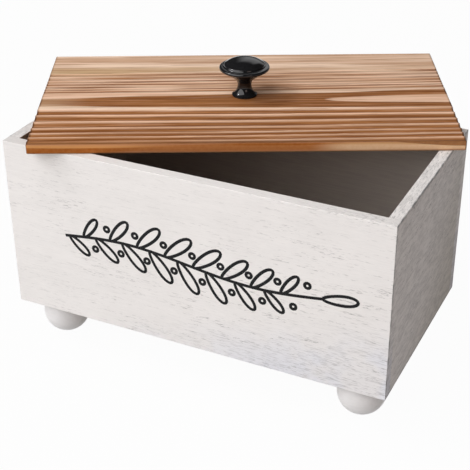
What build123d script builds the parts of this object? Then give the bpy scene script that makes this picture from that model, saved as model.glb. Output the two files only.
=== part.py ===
from build123d import *
import math
import os

# A wooden box for laundry pods: four whitewashed boards round a floor board, four turned
# ball feet, and a loose lid of brushed pine with a cast knob, laid askew on the rim.
# Millimetres. The origin is the middle of the inside floor: X runs along the box, Y to the
# back, Z up.

# Box body
box_length = 250.0
box_depth = 134.0
box_height = 114.0
wall = 7.5
floor_thickness = 7.0
edge_ease = 0.4

# Ball feet
foot_radius = 15.0
foot_seat_cut = 2.0
foot_spot_radius = 3.0
foot_inset = 21.0

# Countersunk wood screws, driven down through the floor board into the feet
foot_screw_radius = 1.75
foot_screw_length = 20.0
foot_screw_point = 4.0
foot_screw_head_radius = 3.5
foot_screw_sink = 0.3

# Brads, sunk below the face and filled over
brad_radius = 0.6
brad_length = 18.0
brad_head_radius = 1.0
brad_head_height = 0.7
brad_cover = 1.0
corner_brad_count = 3
corner_brad_margin = 20.0
floor_brad_spacing = 80.0
floor_brad_count = 3
end_brad_spacing = 50.0
end_brad_count = 2

# Lid board and how it lies on the rim
lid_overhang_ends = 4.5
lid_overhang_sides = 4.0
lid_thickness = 7.0
lid_round = 1.0
lid_end_round = 0.6
lid_ease = 0.5
lid_shift_x = -15.6
lid_shift_y = 43.7
lid_turn = 26.1

# Brushed flutes in the lid's top, narrower towards the front in each band. The coarse band
# starts at its crest furthest from the front edge, the fine band at its crest nearest the
# back edge.
coarse_start_left = 49.0
coarse_start_right = 48.2
coarse_back_pitch_left = 9.6
coarse_back_pitch_right = 8.6
coarse_front_pitch_left = 5.8
coarse_front_pitch_right = 5.8
coarse_flutes = 6
coarse_depth = 1.0
fine_start_left = 34.0
fine_start_right = 30.5
fine_back_pitch_left = 5.9
fine_back_pitch_right = 5.6
fine_front_pitch_left = 3.5
fine_front_pitch_right = 3.8
fine_flutes = 7
fine_depth = 0.4
crest_width = 0.9

# Cast knob, turned shape
knob_base_radius = 8.0
knob_base_height = 0.8
knob_neck_radius = 4.4
knob_neck_height = 6.8
knob_rim_radius = 16.0
knob_rim_height = 18.5
knob_rim_round = 1.2
knob_ledge = 1.8
knob_step = 1.2
knob_shoulder = 0.7
knob_cove = 0.3
knob_height = 25.0

# Pan-head machine screw, up through the lid into the knob
knob_screw_radius = 2.0
knob_screw_reach = 9.0
knob_screw_head_radius = 4.0
knob_screw_head_height = 2.5
knob_screw_head_round = 1.0

# Cross recess in both kinds of screw
recess_width = 0.9
recess_span = 4.0
recess_depth = 1.2

# Clearances
screw_clearance = 0.15
brad_clearance = 0.05
hole_end_clearance = 1.0

# Levels and places that follow from the sizes above
box_bottom = -floor_thickness
rim_level = box_bottom + box_height
inner_length = box_length - 2 * wall
inner_depth = box_depth - 2 * wall
lid_length = box_length + 2 * lid_overhang_ends
lid_depth = box_depth + 2 * lid_overhang_sides
lid_place = Pos(lid_shift_x, lid_shift_y, rim_level) * Rot(0, 0, lid_turn)


def evenly(count, spacing):
    """Places of count things, spacing apart, about zero."""
    return [(number - (count - 1) / 2) * spacing for number in range(count)]


def turned(profile):
    """A solid turned about Z from a closed outline in the XZ plane."""
    return revolve(Plane.XZ * make_face(profile), Axis.Z)


def brad(clearance=0.0):
    """A brad along +Z with its head's top at zero, or the hole that it leaves."""
    shank = Cylinder(
        brad_radius + clearance,
        brad_length + clearance,
        align=(Align.CENTER, Align.CENTER, Align.MIN),
    )
    head = Cylinder(
        brad_head_radius + clearance,
        brad_head_height + 2 * clearance,
        align=(Align.CENTER, Align.CENTER, Align.MIN),
    )
    return shank + Pos(0, 0, -clearance) * head


def corner_brad_places():
    """Through the front and back panels into the ends of the end panels."""
    reach = box_height - 2 * corner_brad_margin
    levels = evenly(corner_brad_count, reach / (corner_brad_count - 1))
    middle = box_bottom + box_height / 2
    places = []
    for end in (-1, 1):
        for level in levels:
            x = end * (box_length - wall) / 2
            y = box_depth / 2 - brad_cover
            places.append(Pos(x, -y, middle + level) * Rot(-90, 0, 0))
            places.append(Pos(x, y, middle + level) * Rot(90, 0, 0))
    return places


def floor_brad_places():
    """Through all four panels into the edges of the floor board."""
    level = -floor_thickness / 2
    x_face = box_length / 2 - brad_cover
    y_face = box_depth / 2 - brad_cover
    places = []
    for x in evenly(floor_brad_count, floor_brad_spacing):
        places.append(Pos(x, -y_face, level) * Rot(-90, 0, 0))
        places.append(Pos(x, y_face, level) * Rot(90, 0, 0))
    for y in evenly(end_brad_count, end_brad_spacing):
        places.append(Pos(-x_face, y, level) * Rot(0, 90, 0))
        places.append(Pos(x_face, y, level) * Rot(0, -90, 0))
    return places


def brad_holes():
    """Every hole that the brads leave in the panels and the floor board."""
    return [place * brad(brad_clearance) for place in corner_brad_places() + floor_brad_places()]


def long_panel():
    """The front panel: it covers the ends of the end panels."""
    place = Pos(0, -(box_depth - wall) / 2, box_bottom + box_height / 2)
    panel = place * Box(box_length, wall, box_height)
    outer_face = panel.faces().sort_by(Axis.Y)[0]
    top_face = panel.faces().sort_by(Axis.Z)[-1]
    bottom_corners = panel.edges().filter_by(Axis.Y).group_by(Axis.Z)[0]
    return fillet(outer_face.edges() + top_face.edges() + bottom_corners, edge_ease)


def end_panel():
    """The left end panel: it stands between the front and back panels."""
    place = Pos(-(box_length - wall) / 2, 0, box_bottom + box_height / 2)
    panel = place * Box(wall, inner_depth, box_height)
    long_edges = panel.edges().filter_by(Axis.Y)
    outer_bottom = long_edges.group_by(Axis.Z)[0].sort_by(Axis.X)[0]
    return fillet(long_edges.group_by(Axis.Z)[-1] + [outer_bottom], edge_ease)


def foot_places():
    """Where each foot's seat meets the floor board, by the foot's name."""
    x = box_length / 2 - foot_inset
    y = box_depth / 2 - foot_inset
    return {
        "front_left_foot": Pos(-x, -y, box_bottom),
        "front_right_foot": Pos(x, -y, box_bottom),
        "back_left_foot": Pos(-x, y, box_bottom),
        "back_right_foot": Pos(x, y, box_bottom),
    }


def foot():
    """A turned ball with a flat seat on top, a small flat below and a hole for its screw."""
    middle = foot_seat_cut - foot_radius
    seat_radius = math.sqrt(foot_radius**2 - middle**2)
    spot_level = middle - math.sqrt(foot_radius**2 - foot_spot_radius**2)
    side = ThreePointArc((seat_radius, 0), (foot_radius, middle), (foot_spot_radius, spot_level))
    ends = Polyline((foot_spot_radius, spot_level), (0, spot_level), (0, 0), (seat_radius, 0))
    ball = turned(side + ends)
    return ball - Pos(0, 0, floor_thickness - foot_screw_sink) * foot_screw_shape(screw_clearance)


def foot_screw_shape(clearance=0.0):
    """A countersunk wood screw hanging from zero, where its head's flat is, or its hole."""
    radius = foot_screw_radius + clearance
    head_radius = foot_screw_head_radius + clearance
    tip = -foot_screw_length - clearance
    outline = Polyline(
        (0, 0),
        (head_radius, 0),
        (radius, radius - head_radius),
        (radius, tip + foot_screw_point),
        (0, tip),
        (0, 0),
    )
    return turned(outline)


def cross_recess():
    """The cross that a driver turns, cut down from zero."""
    bar = Box(recess_span, recess_width, 2 * recess_depth)
    return bar + Rot(0, 0, 90) * bar


def foot_screw():
    """A countersunk wood screw with its recess, head flat at zero."""
    return foot_screw_shape() - cross_recess()


def floor_board():
    """The floor board between the four panels, countersunk for the foot screws."""
    board = Pos(0, 0, box_bottom / 2) * Box(inner_length, inner_depth, floor_thickness)
    mouth = Cylinder(
        foot_screw_head_radius + screw_clearance,
        foot_screw_sink,
        align=(Align.CENTER, Align.CENTER, Align.MAX),
    )
    hole = mouth + Pos(0, 0, -foot_screw_sink) * foot_screw_shape(screw_clearance)
    holes = [place * Pos(0, 0, floor_thickness) * hole for place in foot_places().values()]
    return board - holes - brad_holes()


def flute_spans(start, back_pitch, front_pitch, count):
    """Middle and width of each flute, one after another from start towards the front."""
    spans = []
    crest = start
    for number in range(count):
        share = number / max(count - 1, 1)
        pitch = back_pitch + (front_pitch - back_pitch) * share
        spans.append((crest - pitch / 2, pitch - crest_width))
        crest -= pitch
    return spans


def flute(left_span, right_span, depth):
    """A brushed flute along the lid: a shallow arc at each end, ruled from end to end."""
    over = lid_thickness
    reach = lid_length / 2 + over
    sections = []
    for x, (y, width) in ((-reach, left_span), (reach, right_span)):
        back = y + width / 2
        front = y - width / 2
        arc = ThreePointArc((front, 0), (y, -depth), (back, 0))
        top = Polyline((back, 0), (back, over), (front, over), (front, 0))
        sections.append(Plane.YZ.offset(x) * make_face(arc + top))
    return Pos(0, 0, lid_thickness) * loft(sections, ruled=True)


def flutes():
    """The coarse flutes near the front edge and the fine ones nearer the back edge."""
    front_edge = -lid_depth / 2
    back_edge = lid_depth / 2
    coarse_left = flute_spans(
        front_edge + coarse_start_left, coarse_back_pitch_left, coarse_front_pitch_left, coarse_flutes
    )
    coarse_right = flute_spans(
        front_edge + coarse_start_right, coarse_back_pitch_right, coarse_front_pitch_right, coarse_flutes
    )
    fine_left = flute_spans(
        back_edge - fine_start_left, fine_back_pitch_left, fine_front_pitch_left, fine_flutes
    )
    fine_right = flute_spans(
        back_edge - fine_start_right, fine_back_pitch_right, fine_front_pitch_right, fine_flutes
    )
    cuts = [flute(left, right, coarse_depth) for left, right in zip(coarse_left, coarse_right)]
    cuts += [flute(left, right, fine_depth) for left, right in zip(fine_left, fine_right)]
    return cuts


def lid_board():
    """The lid's one board, brushed on top, with a hole at its middle for the knob screw."""
    board = Pos(0, 0, lid_thickness / 2) * Box(lid_length, lid_depth, lid_thickness)
    board = fillet(board.edges().filter_by(Axis.X).group_by(Axis.Z)[-1], lid_round)
    end_edges = board.faces().filter_by(Axis.X).edges()
    board = fillet(end_edges - end_edges.group_by(Axis.Z)[0], lid_end_round)
    board = fillet(board.faces().sort_by(Axis.Z)[0].edges(), lid_ease)
    hole = Cylinder(knob_screw_radius + screw_clearance, 3 * lid_thickness)
    return board - hole - flutes()


def knob():
    """The knob about Z, standing on zero: foot, waist, a rim with a ledge, and a raised dome."""
    rim_in = knob_rim_radius - knob_rim_round
    rim_low = knob_rim_height - knob_rim_round
    ledge_level = knob_rim_height + knob_rim_round
    dome_edge_radius = rim_in - knob_ledge
    dome_edge = (dome_edge_radius, ledge_level + knob_step)
    dome_rise = knob_height - ledge_level - knob_step
    dome_radius = (dome_edge_radius**2 + dome_rise**2) / (2 * dome_rise)
    base_corner = (knob_base_radius, knob_base_height)
    neck = (knob_neck_radius, knob_neck_height)
    ledge_corner = (dome_edge_radius, ledge_level)
    outline = Polyline((0, knob_height), (0, 0), (knob_base_radius, 0), base_corner)
    outline += Spline(base_corner, neck, tangents=[(-1, 0.4), (0, 1)])
    outline += Spline(neck, (rim_in, rim_low), tangents=[(0, 1), (1, 0.5)])
    outline += ThreePointArc((rim_in, rim_low), (knob_rim_radius, knob_rim_height), (rim_in, ledge_level))
    outline += Polyline((rim_in, ledge_level), ledge_corner, dome_edge)
    outline += RadiusArc(dome_edge, (0, knob_height), -dome_radius)
    profile = make_face(outline)
    profile = fillet(profile.vertices().sort_by_distance(dome_edge)[0], knob_shoulder)
    profile = fillet(profile.vertices().sort_by_distance(ledge_corner)[0], knob_cove)
    hole = Cylinder(
        knob_screw_radius + screw_clearance,
        knob_screw_reach + hole_end_clearance,
        align=(Align.CENTER, Align.CENTER, Align.MIN),
    )
    return revolve(Plane.XZ * profile, Axis.Z) - hole


def knob_screw():
    """The pan-head screw about Z, with the seat of its head at zero."""
    shank = Cylinder(
        knob_screw_radius,
        lid_thickness + knob_screw_reach,
        align=(Align.CENTER, Align.CENTER, Align.MIN),
    )
    head = Cylinder(
        knob_screw_head_radius,
        knob_screw_head_height,
        align=(Align.CENTER, Align.CENTER, Align.MAX),
    )
    head = fillet(head.edges().sort_by(Axis.Z)[0], knob_screw_head_round)
    return shank + head - Pos(0, 0, -knob_screw_head_height) * cross_recess()


def pieces():
    """Every piece at its place, by the name of its node."""
    holes = brad_holes()
    turned_round = Rot(0, 0, 180)
    result = {
        "front_panel": long_panel() - holes,
        "back_panel": turned_round * long_panel() - holes,
        "left_end_panel": end_panel() - holes,
        "right_end_panel": turned_round * end_panel() - holes,
        "floor_board": floor_board(),
    }
    for name, place in foot_places().items():
        result[name] = place * foot()
    screw_level = floor_thickness - foot_screw_sink
    screws = [place * Pos(0, 0, screw_level) * foot_screw() for place in foot_places().values()]
    result["foot_screws"] = Compound(children=screws)
    result["corner_brads"] = Compound(children=[place * brad() for place in corner_brad_places()])
    result["floor_brads"] = Compound(children=[place * brad() for place in floor_brad_places()])
    result["lid_board"] = lid_place * lid_board()
    result["knob"] = lid_place * Pos(0, 0, lid_thickness) * knob()
    result["knob_screw"] = lid_place * knob_screw()
    return result


os.makedirs("parts", exist_ok=True)
for node, shape in pieces().items():
    export_step(shape, f"parts/{node}.step")
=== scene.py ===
import math

import bmesh
import bpy
from mathutils import Matrix, Vector, noise


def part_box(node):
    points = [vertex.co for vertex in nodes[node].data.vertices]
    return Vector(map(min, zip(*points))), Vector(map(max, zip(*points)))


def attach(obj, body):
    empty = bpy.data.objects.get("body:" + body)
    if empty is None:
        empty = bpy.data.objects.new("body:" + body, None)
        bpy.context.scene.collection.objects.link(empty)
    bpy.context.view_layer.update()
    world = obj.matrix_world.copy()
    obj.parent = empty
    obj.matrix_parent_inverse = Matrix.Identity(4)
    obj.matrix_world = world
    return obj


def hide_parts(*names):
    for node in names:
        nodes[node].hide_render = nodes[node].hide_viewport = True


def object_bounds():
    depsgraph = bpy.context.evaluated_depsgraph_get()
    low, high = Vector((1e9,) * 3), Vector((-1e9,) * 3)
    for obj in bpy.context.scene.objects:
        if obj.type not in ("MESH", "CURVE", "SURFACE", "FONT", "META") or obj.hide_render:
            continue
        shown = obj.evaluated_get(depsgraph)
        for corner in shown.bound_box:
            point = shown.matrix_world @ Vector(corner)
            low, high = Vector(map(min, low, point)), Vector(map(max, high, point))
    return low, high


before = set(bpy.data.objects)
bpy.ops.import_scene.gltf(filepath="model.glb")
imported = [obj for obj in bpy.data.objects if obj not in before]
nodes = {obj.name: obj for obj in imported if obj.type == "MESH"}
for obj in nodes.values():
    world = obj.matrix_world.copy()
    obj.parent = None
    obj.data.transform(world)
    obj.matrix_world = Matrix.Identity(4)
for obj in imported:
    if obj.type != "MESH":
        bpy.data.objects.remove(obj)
cad_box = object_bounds()

# Camera
# The box is seen from in front and to its right, a little above the lid, with
# its nearer end almost touching the right edge of the picture.
camera_place = (0.27542, -0.56883, 0.3983)
camera_turn = math.radians(25.99)
camera_down = math.radians(29.76)
camera_roll = math.radians(-0.455)
camera_lens = 87.41
camera_sensor = 36.0
camera_reach = 50.0

camera = bpy.data.objects.new("camera", bpy.data.cameras.new("camera"))
camera.data.lens = camera_lens
camera.data.sensor_width = camera_sensor
camera.data.clip_end = camera_reach
camera.matrix_world = (
    Matrix.Translation(camera_place)
    @ Matrix.Rotation(camera_turn, 4, "Z")
    @ Matrix.Rotation(math.pi / 2 - camera_down, 4, "X")
    @ Matrix.Rotation(camera_roll, 4, "Z")
)
bpy.context.scene.collection.objects.link(camera)
bpy.context.scene.camera = camera
bpy.context.scene.view_settings.view_transform = "Standard"


# Panels
# Four 7.5 mm softwood boards, whitewashed outside and on the rim so that dark pores
# and scratches still show along the grain, and stained dark grey-brown inside.
whitewash_colour = (0.80, 0.775, 0.76)
thin_wash_colour = (0.71, 0.72, 0.775)
# a warmer, darker wash: the painted shade low at the back of the end boards
warm_shade_colour = (0.62, 0.585, 0.535)
# dark dirt, also used for the painted shadow on the rim
dirt_and_shadow_colour = (0.17, 0.18, 0.185)
pore_colour = (0.22, 0.21, 0.215)
inside_stain_colour = (0.435, 0.385, 0.345)
inside_stain_streak_colour = (0.395, 0.345, 0.315)
stain_edge = 0.0002
worn_edge = 0.0006
fine_streak = (0.02, 0.0008)
broad_streak = (0.12, 0.007)
pore_streak = (0.0038, 0.00042)
pore_row_streak = (0.032, 0.0017)
furrow_streak = (0.006, 0.0007)
mottle_streak = (0.0060, 0.0020)
long_board_mottle = 0.007
end_board_mottle = 0.12
end_grain_mottle = 0.12
pore_strength = 0.64
wear_strength = 0.22
furrow_strength = 0.04
corner_furrow_strength = 0.33
edge_dirt_strength = 0.75
edge_dirt_width = 0.0021
edge_dirt_core = 0.0003
end_edge_narrowing = 2.4
skin_start = 0.0004
skin_full = 0.0001
# how much painted shadow the rim takes at its right and at its left end
rim_shadow_right = 0.05
rim_shadow_left = 0.16
wood_bump = 0.0003


def add_node(tree, kind, operation=None, **values):
    """A new shader node, with its operation and its named or numbered inputs set."""
    node = tree.nodes.new(kind)
    if operation:
        node.operation = operation
    for name, value in values.items():
        socket = node.inputs[int(name[1:])] if name[1:].isdigit() else node.inputs[name.replace("_", " ")]
        if isinstance(value, bpy.types.NodeSocket):
            tree.links.new(value, socket)
        else:
            socket.default_value = value
    return node


def maths(tree, operation, *values):
    """The result of a Math node on sockets or numbers."""
    numbered = {f"_{number}": value for number, value in enumerate(values)}
    return add_node(tree, "ShaderNodeMath", operation, **numbered).outputs[0]


def times(tree, first, second):
    """The product of two sockets or numbers."""
    return maths(tree, "MULTIPLY", first, second)


def ramp(tree, value, low, high, low_out=0.0, high_out=1.0):
    """A value taken smoothly from one range to another."""
    node = add_node(tree, "ShaderNodeMapRange", Value=value)
    node.interpolation_type = "SMOOTHSTEP"
    node.inputs["From Min"].default_value = low
    node.inputs["From Max"].default_value = high
    node.inputs["To Min"].default_value = low_out
    node.inputs["To Max"].default_value = high_out
    return node.outputs[0]


def spread(tree, pattern, low_out, high_out):
    """A noise pattern, which lies mostly between 0.3 and 0.7, spread over a range."""
    return ramp(tree, pattern, 0.3, 0.7, low_out, high_out)


def mix(tree, factor, first, second):
    """A colour between two colours or sockets."""
    node = tree.nodes.new("ShaderNodeMix")
    node.data_type = "RGBA"
    for number, value in ((0, factor), (6, first), (7, second)):
        if isinstance(value, bpy.types.NodeSocket):
            tree.links.new(value, node.inputs[number])
        elif number:
            node.inputs[number].default_value = (*value, 1.0)
        else:
            node.inputs[number].default_value = value
    return node.outputs[2]


def shaded(tree, colour, tone):
    """A colour made darker or lighter by a tone around one."""
    return add_node(tree, "ShaderNodeVectorMath", "SCALE", _0=colour, Scale=tone).outputs[0]


def turned_about_z(tree, coordinates, turn):
    """Coordinates turned by an angle about Z."""
    return add_node(tree, "ShaderNodeMapping", Vector=coordinates, Rotation=(0.0, 0.0, turn)).outputs[0]


def speckle(tree, coordinates, scale, detail, roughness=0.5):
    """Noise with no direction, of so many spots a metre."""
    node = add_node(tree, "ShaderNodeTexNoise", Vector=coordinates, Scale=scale, Detail=detail)
    node.inputs["Roughness"].default_value = roughness
    return node.outputs[0]


def new_group(name, inputs, outputs):
    """A node group with its inputs as (name, kind, default) and outputs as (name, kind)."""
    group = bpy.data.node_groups.new(name, "ShaderNodeTree")
    for socket_name, kind, value in inputs:
        socket = group.interface.new_socket(socket_name, in_out="INPUT", socket_type=kind)
        if value is not None:
            socket.default_value = value
    for socket_name, kind in outputs:
        group.interface.new_socket(socket_name, in_out="OUTPUT", socket_type=kind)
    group.nodes.new("NodeGroupInput")
    group.nodes.new("NodeGroupOutput")
    return group


def new_material(name):
    """A material with an empty Principled surface: its tree, shader and Object coordinates."""
    material = bpy.data.materials.new(name)
    material.use_nodes = True
    tree = material.node_tree
    shader = tree.nodes["Principled BSDF"]
    coordinates = tree.nodes.new("ShaderNodeTexCoord").outputs["Object"]
    return material, tree, shader, coordinates


def link_finish(tree, shader, colour, roughness, height=None, strength=0.0, depth=0.0):
    """Links a finish to its shader: colour, roughness and, where there is a height, its relief."""
    tree.links.new(colour, shader.inputs["Base Color"])
    tree.links.new(roughness, shader.inputs["Roughness"])
    if height is not None:
        bump = add_node(tree, "ShaderNodeBump", Height=height, Strength=strength, Distance=depth)
        tree.links.new(bump.outputs[0], shader.inputs["Normal"])


# streaks of wood grain: long along X and narrow across it, from fine to coarse
grain = new_group(
    "wood_grain",
    [
        ("Vector", "NodeSocketVector", None),
        ("Length", "NodeSocketFloat", 0.05),
        ("Width", "NodeSocketFloat", 0.001),
    ],
    [("Streak", "NodeSocketFloat")],
)
grain_in = grain.nodes["Group Input"].outputs
along = maths(grain, "DIVIDE", 1.0, grain_in["Length"])
across = maths(grain, "DIVIDE", 1.0, grain_in["Width"])
grain_scale = add_node(grain, "ShaderNodeCombineXYZ", X=along, Y=across, Z=across).outputs[0]
grain_place = add_node(grain, "ShaderNodeVectorMath", "MULTIPLY", _0=grain_in["Vector"], _1=grain_scale)
grain_streak = speckle(grain, grain_place.outputs[0], 1.0, 3.0, 0.6)
grain.links.new(grain_streak, grain.nodes["Group Output"].inputs[0])


def streaks(tree, coordinates, length, width):
    """Wood grain placed in a material, in streaks of a length and width in metres."""
    node = tree.nodes.new("ShaderNodeGroup")
    node.node_tree = grain
    tree.links.new(coordinates, node.inputs["Vector"])
    node.inputs["Length"].default_value = length
    node.inputs["Width"].default_value = width
    return node.outputs["Streak"]


def whitewashed(name, turn, blotches, long_board):
    """Whitewashed wood with its grain along X turned about Z, for a long board (1) or an end board (0)."""
    material, tree, shader, coordinates = new_material(name)
    turned = turned_about_z(tree, coordinates, turn)
    fine = streaks(tree, turned, *fine_streak)
    broad = streaks(tree, turned, *broad_streak)
    pores = streaks(tree, turned, *pore_streak)
    rows = streaks(tree, turned, *pore_row_streak)
    furrows = streaks(tree, turned, *furrow_streak)
    mottle = streaks(tree, turned, *mottle_streak)
    end_mottle = streaks(tree, turned_about_z(tree, coordinates, math.pi / 2), *mottle_streak)
    patches = speckle(tree, turned, 11.0, 1.0)
    clouds = speckle(tree, turned, 38.0, 2.0)
    chips = speckle(tree, coordinates, 130.0, 4.0)

    # how far a place is from the rim, the ends, the long faces and the lower edge of the box
    place = add_node(tree, "ShaderNodeSeparateXYZ", Vector=coordinates).outputs
    front_low, front_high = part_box("front_panel")
    rim_gap = maths(tree, "SUBTRACT", front_high.z, place[2])
    end_gap = maths(tree, "SUBTRACT", front_high.x, maths(tree, "ABSOLUTE", place[0]))
    side_gap = maths(tree, "SUBTRACT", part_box("back_panel")[1].y, maths(tree, "ABSOLUTE", place[1]))
    foot_gap = maths(tree, "SUBTRACT", place[2], front_low.z)
    end_face = ramp(tree, end_gap, skin_start, skin_full, 0.0, long_board)
    rim_face = ramp(tree, rim_gap, skin_start, skin_full)
    corner_slant = maths(tree, "SUBTRACT", times(tree, place[0], 0.30), place[2])
    near_corner = ramp(tree, corner_slant, -0.020, 0.030, 0.0, long_board)
    low_back = maths(tree, "SUBTRACT", times(tree, place[1], 0.6), times(tree, place[2], 0.4))

    # the wash: thinner and bluer near the lower right corner; on the end boards a painted shade, warmer and
    # darker, low at the back
    tone = maths(tree, "ADD", spread(tree, fine, -0.013, 0.007), spread(tree, broad, -0.009, 0.008))
    tone = maths(tree, "ADD", tone, times(tree, ramp(tree, mottle, 0.32, 0.68, -1.0, 1.0), blotches))
    end_tone = ramp(tree, end_mottle, 0.32, 0.68, -end_grain_mottle, end_grain_mottle)
    tone = maths(tree, "ADD", tone, times(tree, end_tone, end_face))
    bright = maths(tree, "ADD", tone, spread(tree, clouds, 0.985, 1.01))
    thin = times(tree, near_corner, ramp(tree, clouds, 0.38, 0.62, 0.25, 0.85))
    wash = mix(tree, thin, whitewash_colour, thin_wash_colour)
    wash = mix(tree, ramp(tree, low_back, -0.035, 0.045, 0.0, 1.0 - long_board), wash, warm_shade_colour)
    base = shaded(tree, wash, bright)

    # the pores that the wash doesn't fill, crowded in rows, and the edges where it is worn
    crowd = times(tree, ramp(tree, rows, 0.47, 0.60), ramp(tree, patches, 0.40, 0.60, 0.30, 1.0))
    crowd = maths(tree, "MAXIMUM", crowd, times(tree, ramp(tree, rows, 0.44, 0.60), near_corner))
    top_specks = times(tree, ramp(tree, rim_gap, 0.0030, 0.0010), ramp(tree, place[0], 0.045, 0.105))
    crowd = maths(tree, "MAXIMUM", crowd, top_specks)
    scratches = times(tree, ramp(tree, pores, 0.54, 0.66), crowd)
    furrow_tone = maths(tree, "MULTIPLY_ADD", near_corner, corner_furrow_strength, furrow_strength)
    rough = times(tree, ramp(tree, furrows, 0.50, 0.66), furrow_tone)
    corner_gap = maths(tree, "MAXIMUM", end_gap, side_gap)
    top_gap = maths(tree, "MAXIMUM", rim_gap, maths(tree, "MINIMUM", end_gap, side_gap))
    near_edge = ramp(tree, maths(tree, "MINIMUM", corner_gap, top_gap), worn_edge, 0.0)
    worn = times(tree, near_edge, ramp(tree, chips, 0.50, 0.62))
    bare = maths(tree, "MAXIMUM", times(tree, scratches, pore_strength), times(tree, worn, wear_strength))
    bare = maths(tree, "MAXIMUM", bare, rough)
    outside = mix(tree, bare, base, pore_colour)

    # dirt around the outline of each end, and a painted shadow of the lid on the rim, faint all along it
    # and deepest towards its left end
    outline = maths(tree, "MINIMUM", rim_gap, maths(tree, "MINIMUM", side_gap, foot_gap))
    outline = maths(tree, "MAXIMUM", outline, times(tree, end_gap, end_edge_narrowing))
    dirty = ramp(tree, outline, edge_dirt_width, edge_dirt_core, 0.0, edge_dirt_strength)
    dirty = times(tree, dirty, ramp(tree, chips, 0.36, 0.60))
    dirt = times(tree, dirty, maths(tree, "MAXIMUM", end_face, 1.0 - long_board))
    outside = mix(tree, dirt, outside, dirt_and_shadow_colour)
    # painted shadow: the rim a little darker all along and more towards its left end, under the lid
    rim_shadow = ramp(tree, place[0], -0.060, -0.115, rim_shadow_right, rim_shadow_left)
    outside = mix(tree, times(tree, rim_face, rim_shadow), outside, dirt_and_shadow_colour)

    # the stained faces inside the box
    stain = mix(tree, ramp(tree, fine, 0.35, 0.65), inside_stain_colour, inside_stain_streak_colour)
    inner_x = abs(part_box("left_end_panel")[1].x) + stain_edge
    inner_y = abs(front_high.y) + stain_edge
    within_x = maths(tree, "LESS_THAN", maths(tree, "ABSOLUTE", place[0]), inner_x)
    within_y = maths(tree, "LESS_THAN", maths(tree, "ABSOLUTE", place[1]), inner_y)
    colour = mix(tree, times(tree, within_x, within_y), outside, stain)

    height = maths(tree, "SUBTRACT", times(tree, fine, 0.5), maths(tree, "MAXIMUM", scratches, rough))
    link_finish(tree, shader, colour, spread(tree, fine, 0.50, 0.62), height, 0.25, wood_bump)
    shader.inputs["Specular IOR Level"].default_value = 0.1
    return material


def dress(node_name, material):
    """Gives a CAD piece its material."""
    nodes[node_name].data.materials.clear()
    nodes[node_name].data.materials.append(material)


long_board_finish = whitewashed("whitewashed_long_board", 0.0, long_board_mottle, 1.0)
end_board_finish = whitewashed("whitewashed_end_board", math.pi / 2, end_board_mottle, 0.0)
dress("front_panel", long_board_finish)
dress("back_panel", long_board_finish)
dress("left_end_panel", end_board_finish)
dress("right_end_panel", end_board_finish)


# Floor board
# One softwood board let in between the panels, level with their lower edges:
# stained like the inside on top and left as bare pale wood underneath.
bare_wood_colour = (0.58, 0.44, 0.30)
bare_wood_streak_colour = (0.46, 0.32, 0.19)
floor_fine_streak = (0.04, 0.0012)
floor_broad_streak = (0.25, 0.008)

floor_finish, tree, shader, coordinates = new_material("stained_floor_board")
fine = streaks(tree, coordinates, *floor_fine_streak)
broad = streaks(tree, coordinates, *floor_broad_streak)
stain = mix(tree, ramp(tree, fine, 0.35, 0.65), inside_stain_colour, inside_stain_streak_colour)
bare = mix(tree, ramp(tree, broad, 0.35, 0.65), bare_wood_colour, bare_wood_streak_colour)
level = add_node(tree, "ShaderNodeSeparateXYZ", Vector=coordinates).outputs[2]
top_side = maths(tree, "GREATER_THAN", level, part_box("floor_board")[0].z / 2)
floor_tone = mix(tree, top_side, bare, stain)
link_finish(tree, shader, floor_tone, spread(tree, fine, 0.55, 0.7), fine, 0.2, wood_bump)
dress("floor_board", floor_finish)


# Ball feet
# Four turned wooden balls in satin white paint, each with a flat where it meets
# the floor board and a small one where it was parted off the lathe.
foot_paint_colour = (0.80, 0.785, 0.785)
foot_ring_streak = (0.02, 0.0011)
brush_mark_scale = 180.0
brush_mark_bump = 0.0002

foot_finish, tree, shader, coordinates = new_material("satin_white_paint")
rings = streaks(tree, coordinates, *foot_ring_streak)
brush_marks = speckle(tree, coordinates, brush_mark_scale, 2.0)
tone = maths(tree, "ADD", spread(tree, rings, 0.975, 1.01), spread(tree, brush_marks, -0.015, 0.01))
paint = shaded(tree, foot_paint_colour, tone)
link_finish(tree, shader, paint, spread(tree, brush_marks, 0.32, 0.42), brush_marks, 0.1, brush_mark_bump)
for foot in ("front_left_foot", "front_right_foot", "back_left_foot", "back_right_foot"):
    dress(foot, foot_finish)


# Screws and brads
# Zinc-plated steel: a countersunk screw down into each foot, a pan-head screw up
# into the knob, and thin brads through the panels that the filler hides.
zinc_colour = (0.60, 0.61, 0.63)
zinc_dull_colour = (0.42, 0.43, 0.45)
zinc_spot_scale = 700.0

zinc_finish, tree, shader, coordinates = new_material("zinc_plate")
spots = speckle(tree, coordinates, zinc_spot_scale, 4.0)
plate = mix(tree, ramp(tree, spots, 0.35, 0.65), zinc_colour, zinc_dull_colour)
link_finish(tree, shader, plate, spread(tree, spots, 0.28, 0.45))
shader.inputs["Metallic"].default_value = 1.0
for fastener in ("foot_screws", "corner_brads", "floor_brads", "knob_screw"):
    dress(fastener, zinc_finish)


# Lid board
# One pine board, wire-brushed so that the hard rings stand up as ridges along it,
# toasted brown between their pale crests, with its edges rounded over and oiled.
# The brown also holds a painted shade in the grooves, and the pale a painted highlight on the crests.
lid_low, lid_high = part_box("lid_board")
lid_middle = (lid_low + lid_high) / 2
lid_place = Matrix.Translation((lid_middle.x, lid_middle.y, lid_high.z))
lid_turn = math.radians(26.1)
lid_length = 0.259
lid_depth = 0.142
lid_round = 0.001
lid_end_round = 0.0006
lid_ease = 0.0005
lid_thickness = lid_high.z - lid_low.z
lid_columns = 150
lid_rows = 430
column_crowding = 0.88
coarse_relief = 0.0010
fine_relief = 0.0004
flame_relief = 0.00012
tongue_relief = 0.00008
ridge_roundness = 0.6
mm_per_metre = 1000

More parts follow.
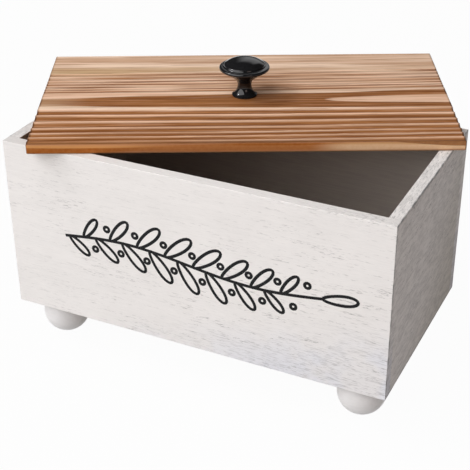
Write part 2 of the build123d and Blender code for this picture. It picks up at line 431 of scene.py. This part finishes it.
# places on the lid's top in millimetres, from its back edge or from its left end
coarse_crests_left = (92.6, 100.9, 110.8, 120.2, 127.2, 132.9, 138.6, 146.0)
coarse_crests_right = (93.2, 101.0, 110.0, 117.6, 124.6, 130.4, 136.6, 145.0)
coarse_paleness_left = (0.86, 1.0, 0.95, 0.76, 0.74, 0.74, 0.0, 0.0)
coarse_paleness_right = (0.92, 1.0, 0.72, 0.70, 0.62, 0.56, 0.80, 0.0)
fine_crests_left = (34.0, 39.4, 46.2, 50.7, 54.9, 60.2, 63.6, 67.0)
fine_crests_right = (30.5, 35.4, 41.6, 46.2, 51.3, 54.8, 58.4, 63.2)
fine_paleness = (1.0,) * 8
fine_crest_strength = 0.6
crest_bow = 0.8
tongue_back_start = 75.5
tongue_back_bends = ((0, 70, -3.5), (70, 170, -2.5), (170, 258, -5.0))
tongue_front_start = 87.8
tongue_front_bends = ((10, 70, 2.5), (70, 170, 2.5))
flame_start = 182.0
flame_length = 76.0
flame_half_width = 6.4
flame_middle = 79.6
flame_strength = 0.7
pale_band_back = 67.5
pale_band_strength = 0.8
dash_middle = 65.4
dash_slant = 0.012
dash_strength = 0.8

pale_colour = (0.865, 0.650, 0.495)
peach_colour = (0.590, 0.378, 0.250)
crest_colour = (0.80, 0.510, 0.355)
brown_colour = (0.208, 0.073, 0.021)
warm_brown_colour = (0.360, 0.152, 0.054)
dark_line_colour = (0.085, 0.035, 0.016)
yellow_colour = (0.480, 0.310, 0.148)
golden_colour = (0.60, 0.28, 0.098)
orange_colour = (0.34, 0.098, 0.016)
russet_colour = (0.24, 0.070, 0.014)
tan_colour = (0.42, 0.150, 0.046)
grey_tan_colour = (0.50, 0.235, 0.125)
straw_colour = (0.62, 0.335, 0.155)
pale_straw_colour = (0.76, 0.50, 0.30)
end_grain_colour = (0.30, 0.135, 0.055)
lid_fine_streak = (0.035, 0.0007)
lid_line_streak = (0.055, 0.0018)
lid_medium_streak = (0.09, 0.0022)
lid_broad_streak = (0.20, 0.009)
grit_scale = 420.0


def smooth(low, high, value):
    """Zero below low, one above high, and a smooth step between."""
    share = min(max((value - low) / (high - low), 0.0), 1.0)
    return share * share * (3 - 2 * share)


def between(left, right, share):
    """Values between those at the lid's left and right ends."""
    return [first + (last - first) * share for first, last in zip(left, right)]


def winding(start, bends, along):
    """The place of a line that runs along the lid and shifts between given places."""
    return start + sum(shift * smooth(low, high, along) for low, high, shift in bends)


def drift(along, across, along_rate, across_rate, layer):
    """Slow noise over the lid's top, from about -1 to 1, and another one for each layer."""
    return noise.noise(Vector((along * along_rate, across * across_rate, layer)))


def ridge(across, crests, paleness):
    """Between two crests: how deep the surface is, and how pale, both 0 to 1, or None outside the band."""
    for number in range(len(crests) - 1):
        back, front = crests[number : number + 2]
        if back <= across < front:
            part = (across - back) / (front - back)
            # pale near the crests and brown in the grooves: partly the wood's own colour, partly a painted
            # highlight and a painted shade
            pale = paleness[number] * (1 - smooth(0.0, 0.30, part))
            pale += paleness[number + 1] * smooth(0.62, 1.0, part)
            return math.sin(math.pi * part) ** ridge_roundness, pale
    return 0.0, None


def lid_surface(x, y):
    """Relief in metres, and brown, crest and yellow tint from 0 to 1, at a place on the lid's top."""
    along = (x + lid_length / 2) * mm_per_metre
    across = (lid_depth / 2 - y) * mm_per_metre
    share = along / (lid_length * mm_per_metre)

    # the coarse ridges in front and the fine ones behind, which waver a little
    slow = drift(along, across, 0.012, 0.05, 3.1)
    waver = 0.45 * slow + 0.22 * drift(along, across, 0.05, 0.1, 7.7)
    waver += crest_bow * math.sin(math.pi * share) ** 2
    paleness = between(coarse_paleness_left, coarse_paleness_right, share)
    coarse, crest = ridge(across - waver, between(coarse_crests_left, coarse_crests_right, share), paleness)
    brown = 0.0 if crest is None else 1 - crest
    waver_behind = waver - 0.4 - 1.4 * share**2
    fine_crests = between(fine_crests_left, fine_crests_right, share)
    fine, fine_crest = ridge(across - waver_behind, fine_crests, fine_paleness)
    if fine_crest is not None:
        patch = 0.62 + 0.8 * drift(along, across, 0.02, 0.25, 1.3)
        brown = (1 - fine_crest) * min(max(patch, 0.15), 0.9)
        crest = fine_crest_strength * fine_crest
    crest = crest or 0.0

    # the long brown tongue of the heart rings, with a pale flame inside it at the right
    tongue_back = winding(tongue_back_start, tongue_back_bends, along)
    tongue_front = winding(tongue_front_start, tongue_front_bends, along)
    tongue = smooth(-0.7, 0.9, across - tongue_back + waver)
    tongue = tongue * (1 - smooth(-1.6, 0.6, across - tongue_front))
    flame_half = flame_half_width * (max(along - flame_start, 0.0) / flame_length) ** 0.36
    middle = flame_middle - 0.5 * smooth(182, 258, along)
    flame = 1 - smooth(-0.9, 0.9, abs(across - middle) - flame_half) if along > flame_start else 0.0
    brown = max(brown, tongue * (0.50 + 0.50 * smooth(2, 34, along)) * (1 - flame))
    crest = max(crest, flame_strength * flame)

    # the pale band behind the tongue, the dark dash in it, and the yellow wood further back
    band_back = smooth(-1.2, 0.6, across - pale_band_back + 1.2 * share)
    band = band_back * (1 - smooth(-1.5, 0.2, across - tongue_back))
    crest = max(crest, band * (1 - smooth(60, 200, along)) * pale_band_strength)
    dash = 1 - smooth(0.3, 1.1, abs(across - dash_middle + along * dash_slant))
    dash = dash * smooth(10, 22, along) * (1 - smooth(34, 70, along))
    brown = max(brown, dash_strength * dash)
    yellow = smooth(20, 26, across) * (1 - smooth(30, 40, across))
    yellow = yellow * (1.0 - 0.75 * smooth(90, 150, along)) * (0.85 + slow)
    yellow_left = 0.6 * (1 - smooth(0, 50, along)) * smooth(73, 78, across) * (1 - smooth(85, 91, across))
    yellow = max(yellow, yellow_left)

    relief = coarse_relief * coarse + fine_relief * fine + flame_relief * flame + tongue_relief * tongue
    return relief, *(min(max(tint, 0.0), 1.0) for tint in (brown, crest, yellow))


def crowded(share):
    """Places the grid's columns closer together near both ends of the board."""
    return share - column_crowding * math.sin(2 * math.pi * share) / (2 * math.pi)


# a fine grid shaped into the brushed top, with its rim drawn down into the board's sides
lid_mesh = bmesh.new()
bmesh.ops.create_grid(lid_mesh, x_segments=lid_columns, y_segments=lid_rows, size=0.5)
tints = [lid_mesh.verts.layers.float.new(name) for name in ("brown", "crest", "yellow")]
over_edge = lid_mesh.verts.layers.float.new("over_edge")
for vert in lid_mesh.verts:
    x = (crowded(vert.co.x + 0.5) - 0.5) * lid_length
    y = vert.co.y * lid_depth
    beyond_x = max(abs(x) - (lid_length / 2 - lid_end_round), 0.0) / lid_end_round
    beyond_y = max(abs(y) - (lid_depth / 2 - lid_round), 0.0) / lid_round
    beyond = min(max(beyond_x, beyond_y), 1.0)
    if beyond_x and beyond_y:
        shrink = beyond / math.hypot(beyond_x, beyond_y)
        x = math.copysign(lid_length / 2 - lid_end_round * (1 - beyond_x * shrink), x)
        y = math.copysign(lid_depth / 2 - lid_round * (1 - beyond_y * shrink), y)
    round_here = (lid_end_round * beyond_x + lid_round * beyond_y) / max(beyond_x + beyond_y, 0.001)
    drop = round_here * (1 - math.sqrt(1 - beyond**2))
    relief, *values = lid_surface(x, y)
    for tint, value in zip(tints, values):
        vert[tint] = value
    vert[over_edge] = max(smooth(0.0, 0.6, beyond_x), smooth(0.45, 0.95, beyond_y))
    vert.co = Vector((x, y, -drop - relief * (1 - 0.6 * beyond_y)))
rim = [edge for edge in lid_mesh.edges if edge.is_boundary]
wall = bmesh.ops.extrude_edge_only(lid_mesh, edges=rim)["geom"]
for vert in (item for item in wall if isinstance(item, bmesh.types.BMVert)):
    vert.co.z = -(lid_thickness - lid_ease)
rim = [item for item in wall if isinstance(item, bmesh.types.BMEdge) and item.is_boundary]
eased = bmesh.ops.extrude_edge_only(lid_mesh, edges=rim)["geom"]
for vert in (item for item in eased if isinstance(item, bmesh.types.BMVert)):
    vert.co.x *= 1 - 2 * lid_ease / lid_length
    vert.co.y *= 1 - 2 * lid_ease / lid_depth
    vert.co.z = -lid_thickness
rim = [item for item in eased if isinstance(item, bmesh.types.BMEdge) and item.is_boundary]
bmesh.ops.contextual_create(lid_mesh, geom=rim)
bmesh.ops.transform(lid_mesh, matrix=lid_place @ Matrix.Rotation(lid_turn, 4, "Z"), verts=lid_mesh.verts)
bmesh.ops.recalc_face_normals(lid_mesh, faces=lid_mesh.faces)


def new_piece(name, mesh, material):
    """A finished object at the origin from a bmesh, smooth up to 40 degrees."""
    data = bpy.data.meshes.new(name)
    mesh.to_mesh(data)
    mesh.free()
    data.shade_smooth()
    data.set_sharp_from_angle(angle=math.radians(40))
    data.materials.append(material)
    piece = bpy.data.objects.new(name, data)
    bpy.context.scene.collection.objects.link(piece)
    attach(piece, "root")
    return piece


def painted(tree, name):
    """A tint of the mesh by its name."""
    node = add_node(tree, "ShaderNodeAttribute")
    node.attribute_name = name
    return node.outputs["Fac"]


def soft_band(tree, value, start, full, fading, gone):
    """One from full to fading, and nothing before start or after gone."""
    return times(tree, ramp(tree, value, start, full), ramp(tree, value, gone, fading))


lid_finish, tree, shader, coordinates = new_material("brushed_toasted_pine")
lid_frame = add_node(tree, "ShaderNodeMapping", Vector=coordinates, Rotation=(0, 0, lid_turn))
lid_frame.vector_type = "TEXTURE"
lid_frame.inputs["Location"].default_value = lid_place.translation
lid_local = lid_frame.outputs[0]
local = add_node(tree, "ShaderNodeSeparateXYZ", Vector=lid_local).outputs
fine = streaks(tree, lid_local, *lid_fine_streak)
lines = streaks(tree, lid_local, *lid_line_streak)
medium = streaks(tree, lid_local, *lid_medium_streak)
broad = streaks(tree, lid_local, *lid_broad_streak)
grit = speckle(tree, lid_local, grit_scale, 3.0, 0.7)

# the brushed top, its crests partly a painted highlight and the grooves between them partly a painted shade
pale = mix(tree, ramp(tree, broad, 0.38, 0.62), pale_colour, peach_colour)
pale = mix(tree, times(tree, ramp(tree, medium, 0.50, 0.68), 0.20), pale, warm_brown_colour)
pale = mix(tree, times(tree, painted(tree, "yellow"), 0.75), pale, yellow_colour)
pale = mix(tree, times(tree, painted(tree, "crest"), 0.85), pale, crest_colour)
heart = mix(tree, ramp(tree, medium, 0.40, 0.60), brown_colour, warm_brown_colour)
brown = painted(tree, "brown")
top_colour = mix(tree, brown, pale, heart)
thin_lines = ramp(tree, fine, 0.54, 0.68, 0.0, 0.14)
dark_lines = maths(tree, "ADD", thin_lines, ramp(tree, lines, 0.53, 0.60, 0.0, 0.30))
top_colour = mix(tree, dark_lines, top_colour, brown_colour)
top_colour = mix(tree, ramp(tree, lines, 0.45, 0.39, 0.0, 0.16), top_colour, crest_colour)
end_gap = maths(tree, "SUBTRACT", lid_length / 2, maths(tree, "ABSOLUTE", local[0]))
back_gap = maths(tree, "SUBTRACT", lid_depth / 2, local[1])
front_gap = maths(tree, "ADD", lid_depth / 2, local[1])
# the ends singed dark and the back edge a little darker
end_singe = maths(tree, "MULTIPLY_ADD", brown, 0.65, 0.30)
singe_and_shade = times(tree, ramp(tree, end_gap, 0.0017, 0.0006), end_singe)
singe_and_shade = maths(tree, "MAXIMUM", singe_and_shade, ramp(tree, back_gap, 0.0012, 0.0005, 0.0, 0.35))
# a painted shade along the last groove before the front edge
singe_and_shade = maths(tree, "MAXIMUM", singe_and_shade, ramp(tree, front_gap, 0.0030, 0.0018, 0.0, 0.45))
top_colour = mix(tree, singe_and_shade, top_colour, dark_line_colour)

# the front edge, where paler and deeper woods meet halfway down and along it, with a painted shade along
# its lower arris
ripple = times(tree, spread(tree, broad, -1.0, 1.0), 0.0008)
level = maths(tree, "ADD", local[2], ripple)
lower_wood = mix(tree, ramp(tree, local[0], -0.085, -0.050), orange_colour, tan_colour)
lower_wood = mix(tree, ramp(tree, local[0], 0.035, 0.062), lower_wood, pale_straw_colour)
upper_wood = mix(tree, ramp(tree, local[0], -0.080, -0.035), golden_colour, tan_colour)
upper_wood = mix(tree, soft_band(tree, local[0], -0.020, 0.0, 0.035, 0.055), upper_wood, orange_colour)
upper_wood = mix(tree, ramp(tree, local[0], 0.040, 0.065), upper_wood, straw_colour)
edge_tone = mix(tree, ramp(tree, level, -0.0030, -0.0021), lower_wood, upper_wood)
middle_stretch = ramp(tree, local[0], -0.090, -0.060, 0.0, 0.7)
lower_greyed = times(tree, ramp(tree, level, -0.0048, -0.0060), middle_stretch)
edge_tone = mix(tree, lower_greyed, edge_tone, grey_tan_colour)
edge_tone = mix(tree, ramp(tree, level, -0.0018, -0.0010, 0.0, 0.6), edge_tone, grey_tan_colour)
wedge = maths(tree, "ADD", local[2], ramp(tree, local[0], 0.065, 0.128, 0.0, 0.0040))
edge_tone = mix(tree, ramp(tree, wedge, 0.0, 0.0006), edge_tone, end_grain_colour)
grit_flecks = ramp(tree, grit, 0.35, 0.65, 0.0, 0.14)
flecks = maths(tree, "ADD", grit_flecks, ramp(tree, fine, 0.45, 0.65, 0.0, 0.12))
edge_tone = mix(tree, flecks, edge_tone, golden_colour)
# a painted shade along the lower arris of the front edge
edge_tone = mix(tree, ramp(tree, local[2], -0.0058, -0.0066, 0.0, 0.60), edge_tone, dark_line_colour)

# the ends and the underside
end_tone = mix(tree, ramp(tree, local[2], -0.0006, -0.0022), dark_line_colour, end_grain_colour)
end_tone = mix(tree, ramp(tree, grit, 0.35, 0.65, 0.0, 0.5), end_tone, russet_colour)
beyond_end = maths(tree, "SUBTRACT", maths(tree, "ABSOLUTE", local[0]), lid_length / 2 - lid_end_round)
side_tone = mix(tree, maths(tree, "GREATER_THAN", beyond_end, 0.0), edge_tone, end_tone)
below = maths(tree, "LESS_THAN", local[2], lid_ease - lid_thickness)
underside = mix(tree, ramp(tree, broad, 0.35, 0.65), peach_colour, yellow_colour)
underside = mix(tree, times(tree, ramp(tree, medium, 0.48, 0.66), 0.45), underside, brown_colour)
around = mix(tree, below, side_tone, underside)
lid_colour = mix(tree, painted(tree, "over_edge"), top_colour, around)
link_finish(tree, shader, lid_colour, spread(tree, fine, 0.50, 0.64), fine, 0.35, wood_bump)
shader.inputs["Specular IOR Level"].default_value = 0.06

lid = new_piece("brushed_lid", lid_mesh, lid_finish)
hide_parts("lid_board")


# Knob
# One zinc casting with a wide domed cap on a waisted neck and a thin foot, in
# black stove enamel with a soft gloss, spun from its half outline in millimetres.
enamel_colour = (0.009, 0.009, 0.010)
enamel_peel_scale = 900.0
enamel_bump = 0.0002
knob_screw_hole = ((0.0, 9.5), (2.15, 9.5), (2.15, 0.0))
knob_foot = ((7.8, 0.0), (8.0, 0.2), (8.0, 0.8))
knob_waist = ((6.2, 2.2), (4.9, 4.4), (4.4, 6.8), (4.6, 8.6), (5.5, 10.3))
knob_bowl = ((7.4, 12.1), (10.2, 14.1), (13.0, 16.0))
knob_rim = ((14.8, 17.3), (15.75, 17.8), (16.0, 18.5), (15.7, 19.3), (14.8, 19.7), (13.6, 19.8))
knob_ledge = ((13.05, 20.3), (12.8, 20.9))
knob_dome = ((12.1, 21.4), (10.0, 22.67), (8.0, 23.54), (5.5, 24.32), (2.8, 24.82), (0.0, 25.0))
knob_turns = 72
knob_fineness = 4
merge_distance = 0.000001


def curved(before, start, stop, after, share):
    """A number part of the way from start to stop, on the smooth curve through all four."""
    bend = 3 * (start - stop) + after - before
    pull = 2 * before - 5 * start + 4 * stop - after
    return start + share / 2 * (stop - before + share * (pull + share * bend))


def softened(points, fineness):
    """A smooth line through points, with new ones between each two."""
    ends = [points[0], *points, points[-1]]
    line = []
    for neighbours in zip(ends, ends[1:], ends[2:], ends[3:]):
        for step in range(fineness):
            line.append([curved(*numbers, step / fineness) for numbers in zip(*neighbours)])
    return [*line, points[-1]]


knob_finish, tree, shader, coordinates = new_material("black_stove_enamel")
peel = speckle(tree, coordinates, enamel_peel_scale, 2.0)
enamel = shaded(tree, enamel_colour, spread(tree, peel, 0.8, 1.3))
link_finish(tree, shader, enamel, spread(tree, peel, 0.04, 0.07), peel, 0.06, enamel_bump)
shader.inputs["Specular IOR Level"].default_value = 0.5

knob_body = [knob_foot[-1], *knob_waist, *knob_bowl, *knob_rim, *knob_ledge, *knob_dome]
knob_outline = [*knob_screw_hole, *knob_foot[:-1], *softened(knob_body, knob_fineness)]
knob_mesh = bmesh.new()
knob_verts = [
    knob_mesh.verts.new((radius / mm_per_metre, 0.0, level / mm_per_metre))
    for radius, level in knob_outline
]
knob_edges = [knob_mesh.edges.new(pair) for pair in zip(knob_verts, knob_verts[1:])]
bmesh.ops.spin(
    knob_mesh,
    geom=knob_verts + knob_edges,
    cent=(0, 0, 0),
    axis=(0, 0, 1),
    angle=math.tau,
    steps=knob_turns,
    use_merge=True,
)
bmesh.ops.remove_doubles(knob_mesh, verts=knob_mesh.verts, dist=merge_distance)
bmesh.ops.recalc_face_normals(knob_mesh, faces=knob_mesh.faces)
knob_low, knob_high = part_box("knob")
knob_middle = (knob_low + knob_high) / 2
knob_place = Matrix.Translation((knob_middle.x, knob_middle.y, knob_low.z))
bmesh.ops.transform(knob_mesh, matrix=knob_place, verts=knob_mesh.verts)

knob = new_piece("black_knob", knob_mesh, knob_finish)
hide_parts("knob")


# Printed sprig
# A leafy sprig brushed in thin black lines across the front panel, a plain
# ornament with berries between its leaves.
ink_colour = (0.006, 0.006, 0.007)
ink_patch_scale = 900.0
ink_width = 0.0020
ink_thickness = 0.00006
ink_roundness = 2
sprig_length = 0.170
sprig_below_rim = 0.056
sprig_sway = 0.004
stem_steps = 60
leaf_length = 0.021
leaf_width = 0.0075
leaf_lean = math.radians(48)
leaf_pairs = 8
leaf_points = 24
leaf_tip_share = 0.62
smallest_leaf = 0.72
leaf_growth = 0.38
first_leaf = 0.05
leaves_reach = 0.88
leaf_stagger = 0.03
berry_radius = 0.0017
berry_height = 0.0075
berry_points = 12
berry_ahead = 0.10


def stroke(mesh, points, closed=False):
    """Adds a flat painted line through points in the plane to a bmesh."""
    curve = bpy.data.curves.new("stroke", "CURVE")
    curve.dimensions = "3D"
    curve.bevel_depth = ink_width / 2
    curve.bevel_resolution = ink_roundness
    curve.use_fill_caps = True
    line = curve.splines.new("POLY")
    line.points.add(len(points) - 1)
    for place, (x, y) in zip(line.points, points):
        place.co = (x, y, 0.0, 1.0)
    line.use_cyclic_u = closed
    holder = bpy.data.objects.new("stroke", curve)
    mesh.from_mesh(bpy.data.meshes.new_from_object(holder))
    bpy.data.objects.remove(holder)
    bpy.data.curves.remove(curve)


def stem_place(share):
    """A place along the sprig's stem and the stem's direction there."""
    x = (share - 0.5) * sprig_length
    y = sprig_sway * math.sin(2 * math.pi * share)
    slope = sprig_sway * 2 * math.pi / sprig_length * math.cos(2 * math.pi * share)
    return Vector((x, y)), math.atan(slope)


def leaf(share, side, scale):
    """The outline of one leaf that grows from the stem towards one side."""
    root, direction = stem_place(share)
    angle = direction + side * leaf_lean
    outline = []
    for number in range(leaf_points):
        turn = 2 * math.pi * number / leaf_points
        reach = (1 - math.cos(turn)) / 2 * leaf_length * scale
        fullness = leaf_tip_share + (1 - leaf_tip_share) * math.sin(turn / 2) ** 2
        swell = math.sin(turn) * fullness * leaf_width / 2 * scale
        outline.append(root + Matrix.Rotation(angle, 2) @ Vector((reach, swell)))
    return outline


def berry(share, side):
    """The outline of one berry that hangs beside the stem."""
    root, direction = stem_place(share)
    middle = root + Matrix.Rotation(direction, 2) @ Vector((0, berry_height * side))
    turns = (math.tau * number / berry_points for number in range(berry_points))
    return [middle + Matrix.Rotation(turn, 2) @ Vector((berry_radius, 0)) for turn in turns]


print_mesh = bmesh.new()
stroke(print_mesh, [stem_place(number / stem_steps)[0] for number in range(stem_steps + 1)])
for number in range(leaf_pairs):
    scale = smallest_leaf + leaf_growth * math.sin(math.pi * (number + 0.5) / leaf_pairs)
    for side in (-1, 1):
        share = first_leaf + leaves_reach * number / leaf_pairs + leaf_stagger * side
        stroke(print_mesh, leaf(share, side, scale), closed=True)
        stroke(print_mesh, berry(share + berry_ahead, side), closed=True)
stroke(print_mesh, leaf(1.0, 0, 1.0), closed=True)
bmesh.ops.scale(print_mesh, vec=(1, 1, ink_thickness / ink_width), verts=print_mesh.verts)
panel_low, panel_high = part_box("front_panel")
sprig_place = Matrix.Translation((0, panel_low.y, panel_high.z - sprig_below_rim))
upright = Matrix.Rotation(math.pi / 2, 4, "X")
bmesh.ops.transform(print_mesh, matrix=sprig_place @ upright, verts=print_mesh.verts)

ink_finish, tree, shader, coordinates = new_material("black_print")
patchy = speckle(tree, coordinates, ink_patch_scale, 2.0)
ink = shaded(tree, ink_colour, spread(tree, patchy, 0.7, 1.8))
link_finish(tree, shader, ink, spread(tree, patchy, 0.6, 0.75))
shader.inputs["Specular IOR Level"].default_value = 0.2

sprig = new_piece("sprig_print", print_mesh, ink_finish)


# Studio
# A white table under soft light from the front and above, with a dimmer fill and a small
# spark for the gloss, so that the front is bright and the right end in shade. The backdrop
# is white to the eye, and gloss mirrors only a stretch of it, high up behind the box.
white = (1.0, 1.0, 1.0)
table_size = 12.0
table_grey = 0.46
table_glow = 0.97
room_colour = (0.205, 0.190, 0.182)
room_mirrored = 0.15
mirrored_up = (0.05, 0.40, 0.65, 0.85)
mirrored_back = (0.42, 0.62)
mirrored_across = (-0.58, -0.30, -0.02, 0.15)
key_place = (-1.15, -1.60, 1.70)
key_size = 4.0
key_power = 100.0
fill_place = (0.62, -0.50, 0.38)
fill_size = 0.35
fill_power = 0.46
fill_colour = (1.0, 0.78, 0.70)
spark_place = (-0.95, -0.36, 1.15)
spark_size = 0.2
spark_power = 3.8
lamps_aim = (0.0, 0.0, 0.04)


def blend_surfaces(tree, factor, first, second):
    """One surface or background that turns into another by a factor."""
    node = tree.nodes.new("ShaderNodeMixShader")
    tree.links.new(factor, node.inputs[0])
    tree.links.new(first.outputs[0], node.inputs[1])
    tree.links.new(second.outputs[0], node.inputs[2])
    return node.outputs[0]


def lamp(name, place, size, power, colour=white):
    """A round soft lamp that faces the box."""
    light = bpy.data.objects.new(name, bpy.data.lights.new(name, "AREA"))
    light.data.shape = "DISK"
    light.data.size = size
    light.data.energy = power
    light.data.color = colour
    light.location = place
    light.rotation_euler = (Vector(lamps_aim) - Vector(place)).to_track_quat("-Z", "Y").to_euler()
    bpy.context.scene.collection.objects.link(light)


table_mesh = bmesh.new()
bmesh.ops.create_grid(table_mesh, x_segments=2, y_segments=2, size=table_size / 2)
bmesh.ops.translate(table_mesh, vec=(0, 0, cad_box[0].z), verts=table_mesh.verts)
table_data = bpy.data.meshes.new("white_table")
table_mesh.to_mesh(table_data)
table_mesh.free()
table = bpy.data.objects.new("white_table", table_data)
bpy.context.scene.collection.objects.link(table)

table_finish = bpy.data.materials.new("white_table")
table_finish.use_nodes = True
tree = table_finish.node_tree
tree.nodes.clear()
diffuse = add_node(tree, "ShaderNodeBsdfDiffuse", Color=(table_grey, table_grey, table_grey, 1.0))
glow = add_node(tree, "ShaderNodeEmission", Color=(*white, 1.0), Strength=1.0)
light_path = tree.nodes.new("ShaderNodeLightPath").outputs
seen = maths(tree, "MAXIMUM", light_path["Is Camera Ray"], light_path["Is Glossy Ray"])
seen = maths(tree, "MAXIMUM", seen, light_path["Is Transmission Ray"])
surface = tree.nodes.new("ShaderNodeOutputMaterial").inputs["Surface"]
tree.links.new(blend_surfaces(tree, times(tree, seen, table_glow), diffuse, glow), surface)
table_data.materials.append(table_finish)

world = bpy.data.worlds.new("studio")
world.use_nodes = True
bpy.context.scene.world = world
tree = world.node_tree
tree.nodes.clear()
light_path = tree.nodes.new("ShaderNodeLightPath").outputs
outwards = tree.nodes.new("ShaderNodeTexCoord").outputs["Generated"]
direction = add_node(tree, "ShaderNodeSeparateXYZ", Vector=outwards).outputs
stretch = times(tree, soft_band(tree, direction[2], *mirrored_up), ramp(tree, direction[1], *mirrored_back))
stretch = times(tree, stretch, soft_band(tree, direction[0], *mirrored_across))
mirrored = times(tree, light_path["Is Glossy Ray"], stretch)
seen = maths(tree, "MAXIMUM", light_path["Is Camera Ray"], light_path["Is Transmission Ray"])
seen = maths(tree, "MAXIMUM", seen, mirrored)
room_strength = ramp(tree, light_path["Is Glossy Ray"], 0.0, 1.0, 1.0, room_mirrored)
room = add_node(tree, "ShaderNodeBackground", Color=(*room_colour, 1.0), Strength=room_strength)
backdrop = add_node(tree, "ShaderNodeBackground", Color=(*white, 1.0), Strength=1.0)
surface = tree.nodes.new("ShaderNodeOutputWorld").inputs["Surface"]
tree.links.new(blend_surfaces(tree, seen, room, backdrop), surface)

lamp("key_light", key_place, key_size, key_power)
lamp("fill_light", fill_place, fill_size, fill_power, fill_colour)
lamp("spark_light", spark_place, spark_size, spark_power)
